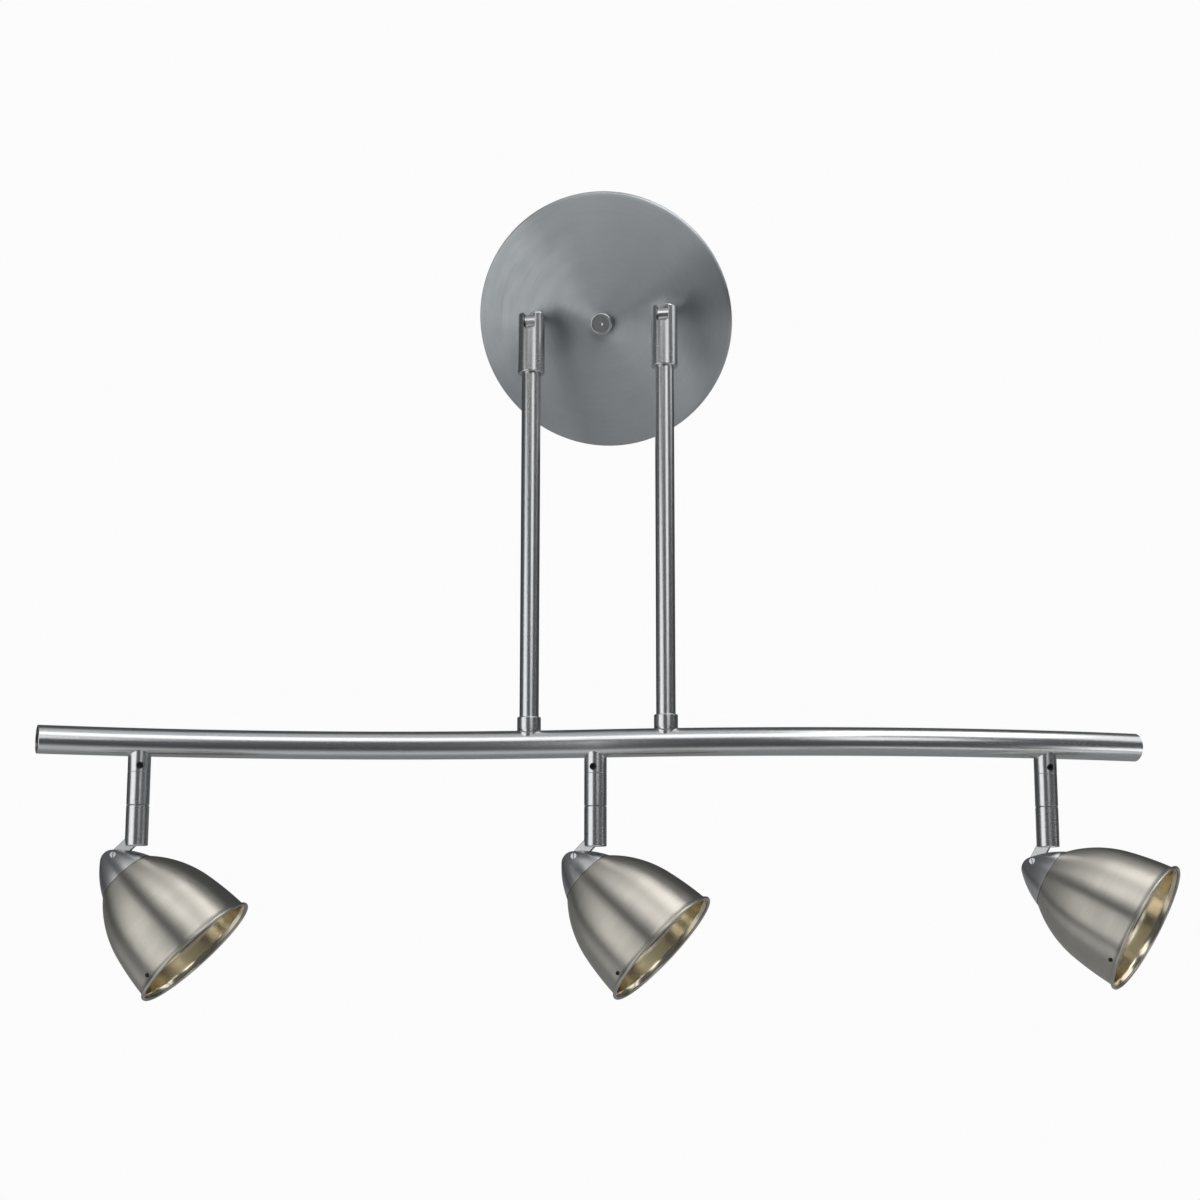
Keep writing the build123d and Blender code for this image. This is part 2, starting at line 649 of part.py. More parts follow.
shade_neck_r = CUP_END_R - 0.4
half_shade = SHADE_SHEET / 2
link_room_y = LINK_T / 2 + LINK_ROOM + 0.1
for side, head in HEADS.items():
    frame = spot_frame(head)
    face = upright(frame)
    axis = spin_axis(frame)
    with BuildPart() as cup:
        with BuildSketch(face):
            with BuildLine():
                nose = ThreePointArc((0, 0), (2.9, -0.62), (CUP_NOSE_R, -CUP_NOSE_DEPTH))
                flank = ThreePointArc(
                    nose @ 1, (CUP_MID_R, -CUP_MID_DEPTH), (CUP_END_R, -CUP_END_DEPTH)
                )
                Polyline(
                    flank @ 1,
                    (SPIGOT_R, -CUP_END_DEPTH),
                    (SPIGOT_R, -SPIGOT_END),
                    (SPIGOT_BORE_R, -SPIGOT_END),
                    (SPIGOT_BORE_R, -CUP_END_DEPTH + 1),
                    (9.8, -CUP_CAVITY_DEPTH),
                    (0, -CUP_CAVITY_DEPTH),
                    nose @ 0,
                )
            make_face()
        revolve(axis=axis)
        with BuildSketch(face) as link_slot:
            with BuildLine():
                slot_wall = TILT_SIDE - link_room_r
                slot_end = TILT_DEPTH + link_room_r
                Polyline(
                    (TILT_SIDE, -slot_end),
                    (CUP_END_R, -slot_end - SLOT_FALL),
                    (CUP_END_R, 1),
                    (slot_wall, 1),
                    (slot_wall, -TILT_DEPTH),
                )
                CenterArc((TILT_SIDE, -TILT_DEPTH), link_room_r, 180, 90)
            make_face()
        extrude(amount=link_room_y, both=True, mode=Mode.SUBTRACT)
        with BuildSketch(face):
            with Locations((TILT_SIDE, -TILT_DEPTH)):
                Circle(TILT_SCREW_R)
        extrude(amount=CUP_END_R, both=True, mode=Mode.SUBTRACT)
        with BuildSketch(face.offset(6.4)):
            with Locations((TILT_SIDE, -TILT_DEPTH)):
                Circle(TILT_SCREW_HEAD_R)
        extrude(amount=6, mode=Mode.SUBTRACT)
        with BuildSketch(shifted(frame, 3.6, 0, -TILT_DEPTH)):
            Circle(1.5)
        extrude(amount=-8, mode=Mode.SUBTRACT)
    cup.part.label = f"{side}_socket_cup"
    export_step(cup.part, f"parts/{side}_socket_cup.step")

    with BuildPart() as tilt_screw:
        with BuildSketch(face.offset(-6.4)):
            with Locations((TILT_SIDE, -TILT_DEPTH)):
                Circle(TILT_SCREW_R)
        extrude(amount=12.8)
        with BuildSketch(face.offset(6.4)):
            with Locations((TILT_SIDE, -TILT_DEPTH)):
                Circle(TILT_SCREW_HEAD_R)
        extrude(amount=1.2)
        with BuildSketch(face.offset(7.6)):
            with Locations((TILT_SIDE, -TILT_DEPTH)):
                Rectangle(4, 0.6, rotation=40)
        extrude(amount=-0.6, mode=Mode.SUBTRACT)
    tilt_screw.part.label = f"{side}_tilt_screw"
    export_step(tilt_screw.part, f"parts/{side}_tilt_screw.step")

    with BuildPart() as lampholder:
        with BuildSketch(shifted(frame, z=-CUP_CAVITY_DEPTH)):
            Circle(HOLDER_NECK_R)
        extrude(amount=CUP_CAVITY_DEPTH - HOLDER_NECK_END)
        with BuildSketch(shifted(frame, z=-HOLDER_NECK_END)):
            Circle(HOLDER_R)
        extrude(amount=HOLDER_NECK_END - HOLDER_END)
        with BuildSketch(shifted(frame, z=-HOLDER_END)):
            with Locations((-LAMP_PIN_GAP / 2, 0), (LAMP_PIN_GAP / 2, 0)):
                Circle(2.6)
        extrude(amount=7, mode=Mode.SUBTRACT)
        fillet(lampholder.edges().filter_by(GeomType.CIRCLE).group_by(SortBy.RADIUS)[-1], 0.6)
    lampholder.part.label = f"{side}_lampholder"
    export_step(lampholder.part, f"parts/{side}_lampholder.step")

    with BuildPart() as lamp:
        with BuildSketch(face):
            with BuildLine():
                base = Line((0, -HOLDER_END - 0.1), (LAMP_BASE_R, -HOLDER_END - 0.1))
                neck = Line(base @ 1, (LAMP_BASE_R, -HOLDER_END - 9))
                cone = ThreePointArc(neck @ 1, (20.5, -46), (LAMP_R - 0.4, -LAMP_FACE + 5))
                Polyline(
                    cone @ 1,
                    (LAMP_R, -LAMP_FACE + 5),
                    (LAMP_R, -LAMP_FACE + 1),
                    (LAMP_R - 1, -LAMP_FACE),
                    (0, -LAMP_FACE),
                    base @ 0,
                )
            make_face()
        revolve(axis=axis)
        with BuildSketch(shifted(frame, z=-HOLDER_END - 0.1)):
            with Locations((-LAMP_PIN_GAP / 2, 0), (LAMP_PIN_GAP / 2, 0)):
                Circle(1.2)
        extrude(amount=4)
        with BuildSketch(shifted(frame, z=-HOLDER_END + 3.9)):
            with Locations((-LAMP_PIN_GAP / 2, 0), (LAMP_PIN_GAP / 2, 0)):
                Circle(2.3)
        extrude(amount=2)
    lamp.part.label = f"{side}_lamp"
    export_step(lamp.part, f"parts/{side}_lamp.step")

    with BuildPart() as shade:
        with BuildSketch(face):
            with BuildLine():
                collar_top = CUP_END_DEPTH + 0.05 + half_shade
                flange = Line((SPIGOT_R + 0.1, -collar_top), (shade_neck_r, -collar_top))
                bell = ThreePointArc(
                    flange @ 1,
                    (SHADE_SHOULDER_R - half_shade, -SHADE_SHOULDER_DEPTH),
                    (SHADE_WAIST_R - half_shade, -SHADE_WAIST_DEPTH),
                )
                skirt = ThreePointArc(
                    bell @ 1,
                    (SHADE_SWELL_R - half_shade, -SHADE_SWELL_DEPTH),
                    (SHADE_SKIRT_R - half_shade, -SHADE_SKIRT_DEPTH),
                )
                TangentArc(skirt @ 1, (BEAD_OUT_R - BEAD_R, -MOUTH_DEPTH), tangent=skirt % 1)
            trace(line_width=SHADE_SHEET)
            with Locations((BEAD_OUT_R - BEAD_R, -MOUTH_DEPTH)):
                Circle(BEAD_R)
        revolve(axis=axis)
        rim_screw_plane = upright(turned(shifted(frame, z=-RIM_SCREW_DEPTH), frame.z_dir, -RIM_SCREW_ANGLE))
        with BuildSketch(rim_screw_plane):
            Circle(1.1)
        extrude(amount=BEAD_OUT_R, mode=Mode.SUBTRACT)
    shade.part.label = f"{side}_shade"
    export_step(shade.part, f"parts/{side}_shade.step")

    with BuildPart() as rim_screw:
        with BuildSketch(rim_screw_plane.offset(33.7)):
            Circle(1.1)
        extrude(amount=3.0)
        with BuildSketch(rim_screw_plane.offset(36.7)):
            RegularPolygon(0.55, 6, major_radius=False)
        extrude(amount=-0.9, mode=Mode.SUBTRACT)
    rim_screw.part.label = f"{side}_rim_screw"
    export_step(rim_screw.part, f"parts/{side}_rim_screw.step")

    with BuildPart() as shade_ring:
        with BuildSketch(shifted(frame, z=-CUP_END_DEPTH - SHADE_SHEET - 0.1)):
            Circle(SPIGOT_R + 0.8)
            Circle(SPIGOT_R, mode=Mode.SUBTRACT)
        extrude(amount=-SHADE_RING_L)
    shade_ring.part.label = f"{side}_shade_ring"
    export_step(shade_ring.part, f"parts/{side}_shade_ring.step")
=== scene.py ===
"""Looks of the three-spot serpentine fixture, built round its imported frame.

Lengths in the classes are millimetres, as on the bench drawing, and become metres where a mesh is made.
"""

import json
import logging
import math
from dataclasses import dataclass, field
from enum import Enum
from typing import Callable, Optional, Sequence

import bmesh
import bpy
from mathutils import Matrix, Vector


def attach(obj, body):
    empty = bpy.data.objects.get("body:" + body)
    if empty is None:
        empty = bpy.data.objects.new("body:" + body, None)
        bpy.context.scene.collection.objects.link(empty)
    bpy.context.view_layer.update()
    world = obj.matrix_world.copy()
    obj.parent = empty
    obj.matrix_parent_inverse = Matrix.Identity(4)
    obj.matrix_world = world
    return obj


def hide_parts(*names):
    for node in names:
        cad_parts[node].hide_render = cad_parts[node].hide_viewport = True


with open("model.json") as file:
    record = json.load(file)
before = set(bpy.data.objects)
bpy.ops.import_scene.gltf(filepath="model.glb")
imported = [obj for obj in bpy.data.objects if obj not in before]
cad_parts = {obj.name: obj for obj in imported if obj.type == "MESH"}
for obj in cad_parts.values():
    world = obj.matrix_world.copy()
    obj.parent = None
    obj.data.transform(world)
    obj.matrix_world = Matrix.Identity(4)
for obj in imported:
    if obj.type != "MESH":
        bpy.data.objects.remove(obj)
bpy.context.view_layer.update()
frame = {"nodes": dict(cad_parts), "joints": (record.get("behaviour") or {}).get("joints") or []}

LOG = logging.getLogger("fixture")
MM = 0.001
WELD = 2e-6                         # corners closer than this many metres are one
FACET_FACING = 0.96                 # how squarely a facet of a cylinder looks away from its axis
FACET_SLOPE = 0.05                  # how far it may lean along the axis
NODE_CREASE = 28.0                  # degrees; edges of a CAD copy that stay sharp
TONES = (0.9, 2.1)                  # range of bands, lines and marks added together
MARKS = (0.3, 0.7)                  # range of the marks alone

Point = tuple[float, float]
Colour = tuple[float, float, float]


# ---- Bench geometry ----------------------------------------------------------------------


@dataclass(frozen=True)
class Datum:
    """An origin in metres with three directions, z being the turning axis."""

    origin: Vector
    x: Vector
    y: Vector
    z: Vector

    def at(self, x: float, y: float, z: float) -> Vector:
        """The point at these millimetres from the origin."""
        return self.origin + (self.x * x + self.y * y + self.z * z) * MM

    def shifted(self, x: float = 0.0, y: float = 0.0, z: float = 0.0) -> "Datum":
        """The same directions at another point, given in millimetres."""
        return Datum(self.at(x, y, z), self.x, self.y, self.z)

    def local(self, point: Vector) -> Vector:
        """A world point in this datum's millimetres."""
        offset = (point - self.origin) / MM
        return Vector((offset.dot(self.x), offset.dot(self.y), offset.dot(self.z)))


class Side(Enum):
    """The three places along the bar."""

    LEFT = "left"
    MIDDLE = "middle"
    RIGHT = "right"


@dataclass
class Bench:
    """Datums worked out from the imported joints."""

    joints: dict[str, dict]
    lean_limit: float = 75.0        # degrees from the arm's line at which a link stops
    tilt_side: float = 4.2          # tilt screw beside the spot's axis
    tilt_depth: float = 6.0         # tilt screw below the cup's top

    def canopy(self) -> Datum:
        """Middle of the canopy's back, z pointing out of the wall."""
        return Datum(Vector(), Vector((1, 0, 0)), Vector((0, 0, 1)), Vector((0, -1, 0)))

    def pendant(self) -> Datum:
        """Between the two swivel pins, z pointing up the stems."""
        up = Vector(self.joints["left_pan"]["axis"]).normalized()
        across = Vector((1, 0, 0))
        return Datum(Vector(self.joints["stem_swing"]["pos_m"]), across, up.cross(across), up)

    def arm(self, side: Side) -> Datum:
        """Top of a head's arm, z up its line and y along its knuckle pin."""
        pan = self.joints[f"{side.value}_pan"]
        up = Vector(pan["axis"]).normalized()
        back = Vector(self.joints[f"{side.value}_knuckle"]["axis"]).normalized()
        return Datum(Vector(pan["pos_m"]), back.cross(up), back, up)

    def spot(self, side: Side) -> Datum:
        """Top of a socket cup on the spot's axis, z pointing away from the mouth."""
        arm = self.arm(side)
        tilt = self.joints[f"{side.value}_tilt"]
        knuckle = self.joints[f"{side.value}_knuckle"]
        lean = self.lean_limit - knuckle["range_deg"][1]
        aim = math.radians(-tilt["range_deg"][0] - lean)
        up = arm.z * math.cos(aim) - arm.x * math.sin(aim)
        pin = Datum(Vector(tilt["pos_m"]), arm.y.cross(up), arm.y, up)
        return pin.shifted(x=-self.tilt_side, z=self.tilt_depth)


def arc(start: Point, via: Point, end: Point, steps: int) -> list[Point]:
    """Points of the circular arc through three points.

    Args:
        start: first point.
        via: a point on the arc between the ends.
        end: last point.
        steps: how many pieces the arc is cut into.

    Returns:
        steps + 1 points from start to end.
    """
    ax, ay = start
    bx, by = via
    cx, cy = end
    turn = 2 * (ax * (by - cy) + bx * (cy - ay) + cx * (ay - by))
    a2, b2, c2 = ax * ax + ay * ay, bx * bx + by * by, cx * cx + cy * cy
    ox = (a2 * (by - cy) + b2 * (cy - ay) + c2 * (ay - by)) / turn
    oy = (a2 * (cx - bx) + b2 * (ax - cx) + c2 * (bx - ax)) / turn
    radius = math.hypot(ax - ox, ay - oy)
    first = math.atan2(ay - oy, ax - ox)
    middle = (math.atan2(by - oy, bx - ox) - first) % math.tau
    last = (math.atan2(cy - oy, cx - ox) - first) % math.tau
    if middle > last:
        last -= math.tau
    angles = [first + last * i / steps for i in range(steps + 1)]
    return [(ox + radius * math.cos(a), oy + radius * math.sin(a)) for a in angles]


def sweep_round(centre: Point, radius: float, first: float, last: float, steps: int) -> list[Point]:
    """Points of a circle from one angle to another, in degrees."""
    turns = [math.radians(first + (last - first) * i / steps) for i in range(steps + 1)]
    return [(centre[0] + radius * math.cos(a), centre[1] + radius * math.sin(a)) for a in turns]


def offset_line(points: Sequence[Point], distance: float) -> list[Point]:
    """The line moved sideways by a distance, to the left of its direction when positive."""
    moved = []
    for i, (x, y) in enumerate(points):
        before = points[max(i - 1, 0)]
        after = points[min(i + 1, len(points) - 1)]
        dx, dy = after[0] - before[0], after[1] - before[1]
        length = math.hypot(dx, dy)
        moved.append((x - dy / length * distance, y + dx / length * distance))
    return moved


# ---- Mesh making -------------------------------------------------------------------------


def finished(name: str, bm: bmesh.types.BMesh, crease: float = 32.0) -> bpy.types.Object:
    """Turns a bmesh into a smooth-shaded object with sharp creases.

    Args:
        name: the object's name.
        bm: the mesh, which is freed.
        crease: edges that turn more than this many degrees stay sharp.

    Returns:
        The object, linked to the scene.
    """
    for face in bm.faces:
        face.smooth = True
    limit = math.radians(crease)
    for edge in bm.edges:
        edge.smooth = len(edge.link_faces) == 2 and edge.calc_face_angle(0.0) < limit
    mesh = bpy.data.meshes.new(name)
    bm.to_mesh(mesh)
    bm.free()
    piece = bpy.data.objects.new(name, mesh)
    bpy.context.scene.collection.objects.link(piece)
    return piece


def skin(
    name: str,
    rings: Sequence[Sequence[Vector]],
    along: Sequence[float],
    closed: bool,
    finish_of: Optional[Callable[[int], int]] = None,
) -> bpy.types.Object:
    """Skins equal rings of points, with u round each ring and v along the rings in metres.

    Args:
        name: the object's name.
        rings: rings of points; a ring of one point is a pole.
        along: distance of each ring along the skin, in metres, one more than rings if closed.
        closed: whether the last ring joins the first.
        finish_of: material index for the band after each ring.

    Returns:
        The skinned object.
    """
    bm = bmesh.new()
    uv = bm.loops.layers.uv.new("UVMap")
    made = [[bm.verts.new(p) for p in ring] for ring in rings]
    count = max(len(ring) for ring in rings)
    bands = len(rings) if closed else len(rings) - 1
    for i in range(bands):
        low, high = made[i], made[(i + 1) % len(made)]
        v0, v1 = along[i], along[i + 1]
        for k in range(count):
            n = (k + 1) % count
            u0, u1 = k / count, (k + 1) / count
            if len(low) == 1:
                corners = [(low[0], (u0 + u1) / 2, v0), (high[n], u1, v1), (high[k], u0, v1)]
            elif len(high) == 1:
                corners = [(low[k], u0, v0), (low[n], u1, v0), (high[0], (u0 + u1) / 2, v1)]
            else:
                corners = [
                    (low[k], u0, v0), (low[n], u1, v0), (high[n], u1, v1), (high[k], u0, v1),
                ]
            face = bm.faces.new([c[0] for c in corners])
            for loop, corner in zip(face.loops, corners):
                loop[uv].uv = corner[1:]
            face.material_index = finish_of(i) if finish_of else 0
    bmesh.ops.recalc_face_normals(bm, faces=bm.faces)
    return finished(name, bm)


def lathe(
    name: str,
    datum: Datum,
    profile: Sequence[Point],
    closed: bool = False,
    segments: int = 128,
    finish_of: Optional[Callable[[int], int]] = None,
) -> bpy.types.Object:
    """Turns a profile of (radius, height) millimetres about a datum's z.

    Args:
        name: the object's name.
        datum: the turning axis.
        profile: the outline; a radius of zero is a pole.
        closed: whether the outline's end joins its start, as on a tube.
        segments: facets round the axis.
        finish_of: material index for the band after each outline point.

    Returns:
        The turned object.
    """
    rings = []
    for radius, height in profile:
        if radius < 1e-6:
            rings.append([datum.at(0, 0, height)])
            continue
        turns = [math.tau * k / segments for k in range(segments)]
        rings.append([datum.at(radius * math.cos(a), radius * math.sin(a), height) for a in turns])
    along = [0.0]
    outline = list(profile) + ([profile[0]] if closed else [])
    for (r0, h0), (r1, h1) in zip(outline, outline[1:]):
        along.append(along[-1] + math.hypot(r1 - r0, h1 - h0) * MM)
    return skin(name, rings, along, closed, finish_of)


def turned_copy(node: str, datum: Datum) -> bpy.types.Object:
    """A merged copy of a CAD node with u round a datum's z and v along it.

    Args:
        node: the CAD node.
        datum: the axis the real piece was turned about.

    Returns:
        The copy, which stands for the node.
    """
    bm = bmesh.new()
    bm.from_mesh(frame["nodes"][node].data)
    bmesh.ops.remove_doubles(bm, verts=bm.verts, dist=WELD)
    for layer in list(bm.loops.layers.uv.values()):
        bm.loops.layers.uv.remove(layer)
    uv = bm.loops.layers.uv.new("UVMap")
    for face in bm.faces:
        middle = datum.local(face.calc_center_median())
        home = math.atan2(middle.y, middle.x)
        for loop in face.loops:
            spot = datum.local(loop.vert.co)
            turn = math.atan2(spot.y, spot.x) - home
            turn = home + (turn + math.pi) % math.tau - math.pi
            radial = math.hypot(spot.x, spot.y)
            loop[uv].uv = (turn / math.tau, (radial + abs(spot.z)) * MM)
    piece = finished(f"{node}_turned", bm, crease=NODE_CREASE)
    round_off(piece, datum)
    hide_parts(node)
    return piece


def round_off(piece: bpy.types.Object, datum: Datum) -> None:
    """Makes the facets that stand for a cylinder about a datum's z shade as one true cylinder."""
    mesh = piece.data
    normals = [Vector(corner.vector) for corner in mesh.corner_normals]
    for face in mesh.polygons:
        away = datum.local(face.center)
        radial = (datum.x * away.x + datum.y * away.y).normalized()
        facing = face.normal.dot(radial)
        if abs(facing) < FACET_FACING or abs(face.normal.dot(datum.z)) > FACET_SLOPE:
            continue
        for corner in face.loop_indices:
            spot = datum.local(mesh.vertices[mesh.loops[corner].vertex_index].co)
            outward = (datum.x * spot.x + datum.y * spot.y).normalized()
            normals[corner] = outward * math.copysign(1.0, facing)
    mesh.normals_split_custom_set(normals)


def dress(piece: bpy.types.Object, *materials: bpy.types.Material) -> bpy.types.Object:
    """Gives a piece its materials in slot order, in place of any it has."""
    if piece.data.materials:
        piece.data.materials.clear()
    for material in materials:
        piece.data.materials.append(material)
    return piece


# ---- Shader groups -----------------------------------------------------------------------


class Wiring:
    """Small helper that adds and joins nodes in one tree."""

    def __init__(self, tree: bpy.types.NodeTree) -> None:
        """Keeps the tree."""
        self.tree = tree

    def add(self, kind: str, **values: object) -> bpy.types.Node:
        """Adds a node and sets its properties."""
        node = self.tree.nodes.new(kind)
        for key, value in values.items():
            setattr(node, key, value)
        return node

    def set(self, node: bpy.types.Node, **values: object) -> bpy.types.Node:
        """Sets inputs by name, with underscores for spaces."""
        for key, value in values.items():
            node.inputs[key.replace("_", " ")].default_value = value
        return node

    def join(self, source: bpy.types.NodeSocket, target: bpy.types.NodeSocket) -> None:
        """Links one socket to another."""
        self.tree.links.new(source, target)

    def math(self, operation: str, first: object, second: object = None) -> bpy.types.NodeSocket:
        """A Math node on sockets or numbers, returning its output."""
        node = self.add("ShaderNodeMath", operation=operation)
        for i, value in enumerate((first, second)):
            if isinstance(value, bpy.types.NodeSocket):
                self.join(value, node.inputs[i])
            elif value is not None:
                node.inputs[i].default_value = value
        return node.outputs[0]

    def spread(self, value: bpy.types.NodeSocket, limits: Point, onto: Point) -> bpy.types.NodeSocket:
        """Maps a value from one range onto another, clamped."""
        node = self.add("ShaderNodeMapRange")
        self.set(node, From_Min=limits[0], From_Max=limits[1], To_Min=onto[0], To_Max=onto[1])
        self.join(value, node.inputs["Value"])
        return node.outputs[0]

    def blend(self, share: bpy.types.NodeSocket, dark: Colour, light: Colour) -> bpy.types.NodeSocket:
        """Mixes two colours by a share."""
        node = self.add("ShaderNodeMix", data_type="RGBA")
        self.join(share, node.inputs[0])
        node.inputs[6].default_value = (*dark, 1)
        node.inputs[7].default_value = (*light, 1)
        return node.outputs[2]


def new_group(name: str, inputs: dict[str, tuple[str, object]], outputs: dict[str, str]) -> tuple:
    """Starts a shader node group.

    Args:
        name: the group's name.
        inputs: socket name to its type and default value.
        outputs: socket name to its type.

    Returns:
        The group, its wiring, its input node and its output node.
    """
    group = bpy.data.node_groups.new(name, "ShaderNodeTree")
    for label, (kind, value) in inputs.items():
        socket = group.interface.new_socket(label, in_out="INPUT", socket_type=kind)
        if value is not None:
            socket.default_value = value
    for label, kind in outputs.items():
        group.interface.new_socket(label, in_out="OUTPUT", socket_type=kind)
    wiring = Wiring(group)
    return group, wiring, wiring.add("NodeGroupInput"), wiring.add("NodeGroupOutput")


FLOAT, VECTOR = "NodeSocketFloat", "NodeSocketVector"


def grain_group() -> bpy.types.NodeTree:
    """Brushing that follows a piece's own u and v without a seam: fine lines and slow bands."""
    group, w, given, out = new_group(
        "brushed_grain",
        {
            "UV": (VECTOR, None),
            "Around": (FLOAT, 1.0),
            "Along": (FLOAT, 4000.0),
            "Bands": (FLOAT, 120.0),
        },
        {"Lines": FLOAT, "Bands": FLOAT},
    )
    split = w.add("ShaderNodeSeparateXYZ")
    w.join(given.outputs["UV"], split.inputs[0])
    turn = w.math("MULTIPLY", split.outputs[0], math.tau)
    cosine = w.math("COSINE", turn)
    sine = w.math("SINE", turn)
    for label, along in (("Lines", given.outputs["Along"]), ("Bands", given.outputs["Bands"])):
        place = w.add("ShaderNodeCombineXYZ")
        w.join(w.math("MULTIPLY", cosine, given.outputs["Around"]), place.inputs[0])
        w.join(w.math("MULTIPLY", sine, given.outputs["Around"]), place.inputs[1])
        w.join(w.math("MULTIPLY", split.outputs[1], along), place.inputs[2])
        noise = w.add("ShaderNodeTexNoise")
        w.set(noise, Scale=1.0, Detail=3.0, Roughness=0.6)
        w.join(place.outputs[0], noise.inputs["Vector"])
        w.join(noise.outputs["Fac"], out.inputs[label])
    return group


def cast_group() -> bpy.types.NodeTree:
    """Isotropic micro texture in object space: fine grit and slow handling marks."""
    group, w, given, out = new_group(
        "fine_grit",
        {"Grit": (FLOAT, 1800.0), "Marks": (FLOAT, 60.0), "Stretch": (VECTOR, (1, 1, 1))},
        {"Grit": FLOAT, "Marks": FLOAT},
    )
    place = w.add("ShaderNodeTexCoord")
    stretch = w.add("ShaderNodeVectorMath", operation="MULTIPLY")
    w.join(place.outputs["Object"], stretch.inputs[0])
    w.join(given.outputs["Stretch"], stretch.inputs[1])
    for label, detail in (("Grit", 2.0), ("Marks", 4.0)):
        noise = w.add("ShaderNodeTexNoise")
        w.set(noise, Detail=detail)
        w.join(stretch.outputs[0], noise.inputs["Vector"])
        w.join(given.outputs[label], noise.inputs["Scale"])
        w.join(noise.outputs["Fac"], out.inputs[label])
    return group


# ---- Finishes ----------------------------------------------------------------------------


@dataclass(frozen=True)
class TurnedMetal:
    """Metal brushed round or along a piece, following the piece's own u and v."""

    name: str
    light: Colour
    dark: Colour
    roughness: float
    spread: float = 0.08            # how far roughness wanders
    around: float = 1.0
    along: float = 4000.0
    bands: float = 120.0
    relief: float = 0.0000004       # bump distance in metres
    anisotropy: float = 0.0
    grit: float = 2600.0
    marks: float = 42.0

    def build(self, grain: bpy.types.NodeTree, grit: bpy.types.NodeTree) -> bpy.types.Material:
        """Makes the material from the two shared groups."""
        material = bpy.data.materials.new(self.name)
        material.use_nodes = True
        w = Wiring(material.node_tree)
        shader = material.node_tree.nodes["Principled BSDF"]
        w.set(shader, Metallic=1.0)
        shader.inputs["Anisotropic"].default_value = self.anisotropy
        coords = w.add("ShaderNodeUVMap", uv_map="UVMap")
        brushed = w.add("ShaderNodeGroup", node_tree=grain)
        w.set(brushed, Around=self.around, Along=self.along, Bands=self.bands)
        w.join(coords.outputs[0], brushed.inputs["UV"])
        handled = w.add("ShaderNodeGroup", node_tree=grit)
        w.set(handled, Grit=self.grit, Marks=self.marks)
        tone = w.math("ADD", brushed.outputs["Bands"], brushed.outputs["Lines"])
        tone = w.math("ADD", tone, handled.outputs["Marks"])
        share = w.spread(tone, TONES, (0.0, 1.0))
        w.join(w.blend(share, self.dark, self.light), shader.inputs["Base Color"])
        rough = (self.roughness + self.spread, self.roughness - self.spread)
        w.join(w.spread(tone, TONES, rough), shader.inputs["Roughness"])
        bump = w.add("ShaderNodeBump")
        w.set(bump, Strength=0.6, Distance=self.relief)
        w.join(w.math("ADD", brushed.outputs["Lines"], handled.outputs["Grit"]), bump.inputs["Height"])
        w.join(bump.outputs[0], shader.inputs["Normal"])
        if self.anisotropy:
            shader.inputs["Anisotropic Rotation"].default_value = 0.25
            tangent = w.add("ShaderNodeTangent", direction_type="UV_MAP", uv_map="UVMap")
            w.join(tangent.outputs[0], shader.inputs["Tangent"])
        return material


@dataclass(frozen=True)
class PlainStuff:
    """A moulded, plated, fired or drawn finish in object space."""

    name: str
    light: Colour
    dark: Colour
    roughness: float
    metallic: float = 0.0
    spread: float = 0.06
    grit: float = 1800.0
    marks: float = 60.0
    relief: float = 0.000004
    coat: float = 0.0

    def build(self, grain: bpy.types.NodeTree, grit: bpy.types.NodeTree) -> bpy.types.Material:
        """Makes the material from the shared grit group."""
        material = bpy.data.materials.new(self.name)
        material.use_nodes = True
        w = Wiring(material.node_tree)
        shader = material.node_tree.nodes["Principled BSDF"]
        w.set(shader, Metallic=self.metallic, Coat_Weight=self.coat)
        texture = w.add("ShaderNodeGroup", node_tree=grit)
        w.set(texture, Grit=self.grit, Marks=self.marks)
        marks = texture.outputs["Marks"]
        share = w.spread(marks, MARKS, (0.0, 1.0))
        w.join(w.blend(share, self.dark, self.light), shader.inputs["Base Color"])
        rough = (self.roughness + self.spread, self.roughness - self.spread)
        w.join(w.spread(marks, MARKS, rough), shader.inputs["Roughness"])
        bump = w.add("ShaderNodeBump")
        w.set(bump, Strength=0.5, Distance=self.relief)
        w.join(texture.outputs["Grit"], bump.inputs["Height"])
        w.join(bump.outputs[0], shader.inputs["Normal"])
        return material


